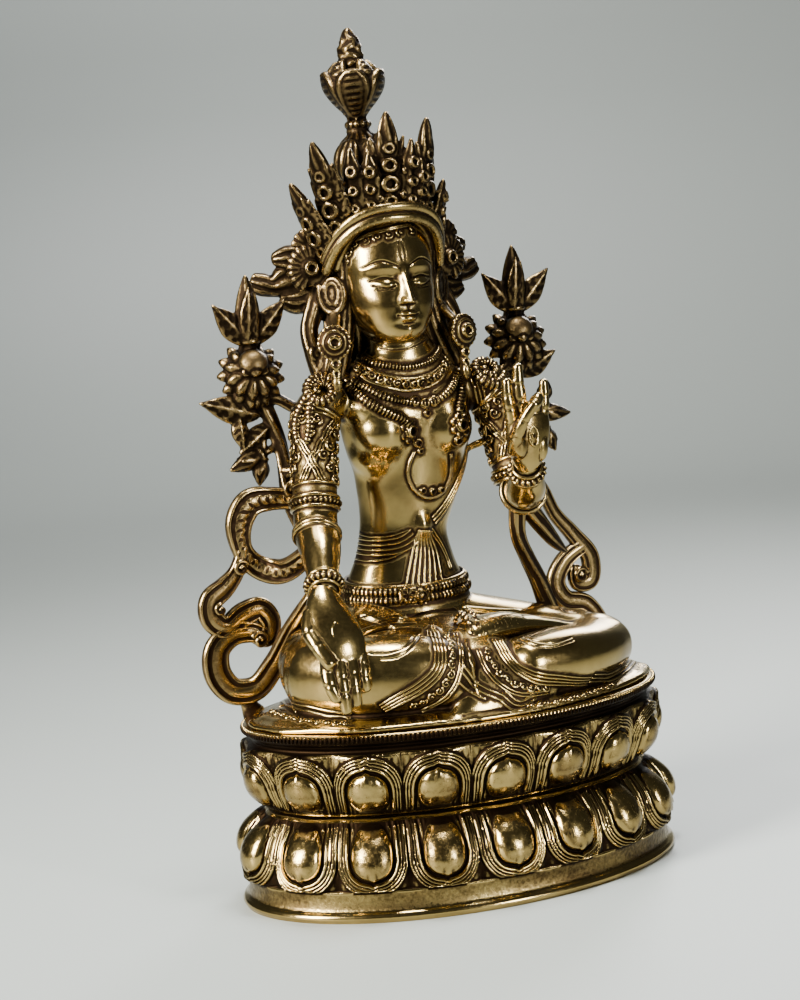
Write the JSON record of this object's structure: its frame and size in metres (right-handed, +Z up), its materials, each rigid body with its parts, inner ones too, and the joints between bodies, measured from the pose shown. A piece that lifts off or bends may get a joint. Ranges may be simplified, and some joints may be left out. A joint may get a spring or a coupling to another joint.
{
  "type": "tara figure",
  "caption": "Cast brass seated Tara with crown, lotus stems and scarves, on an oval double lotus plinth; a free-standing ornament.",
  "frame": {"origin": "middle of the plinth's flat underside", "axes": "+Z up, -Y the way the figure faces, +X towards the figure's own left hand"},
  "size_m": [0.2107, 0.132, 0.38],
  "materials": {
    "figure_brass": "hand-polished on the body, face and robe, dark brown patina in every recess and on the crown, flowers and scarves",
    "plinth_brass": "polished petal bosses and foot band, dark brown patina between the petals"
  },
  "bodies": {
    "root": {"tara_figure": "figure_brass", "lotus_plinth": "plinth_brass"}
  },
  "joints": []
}
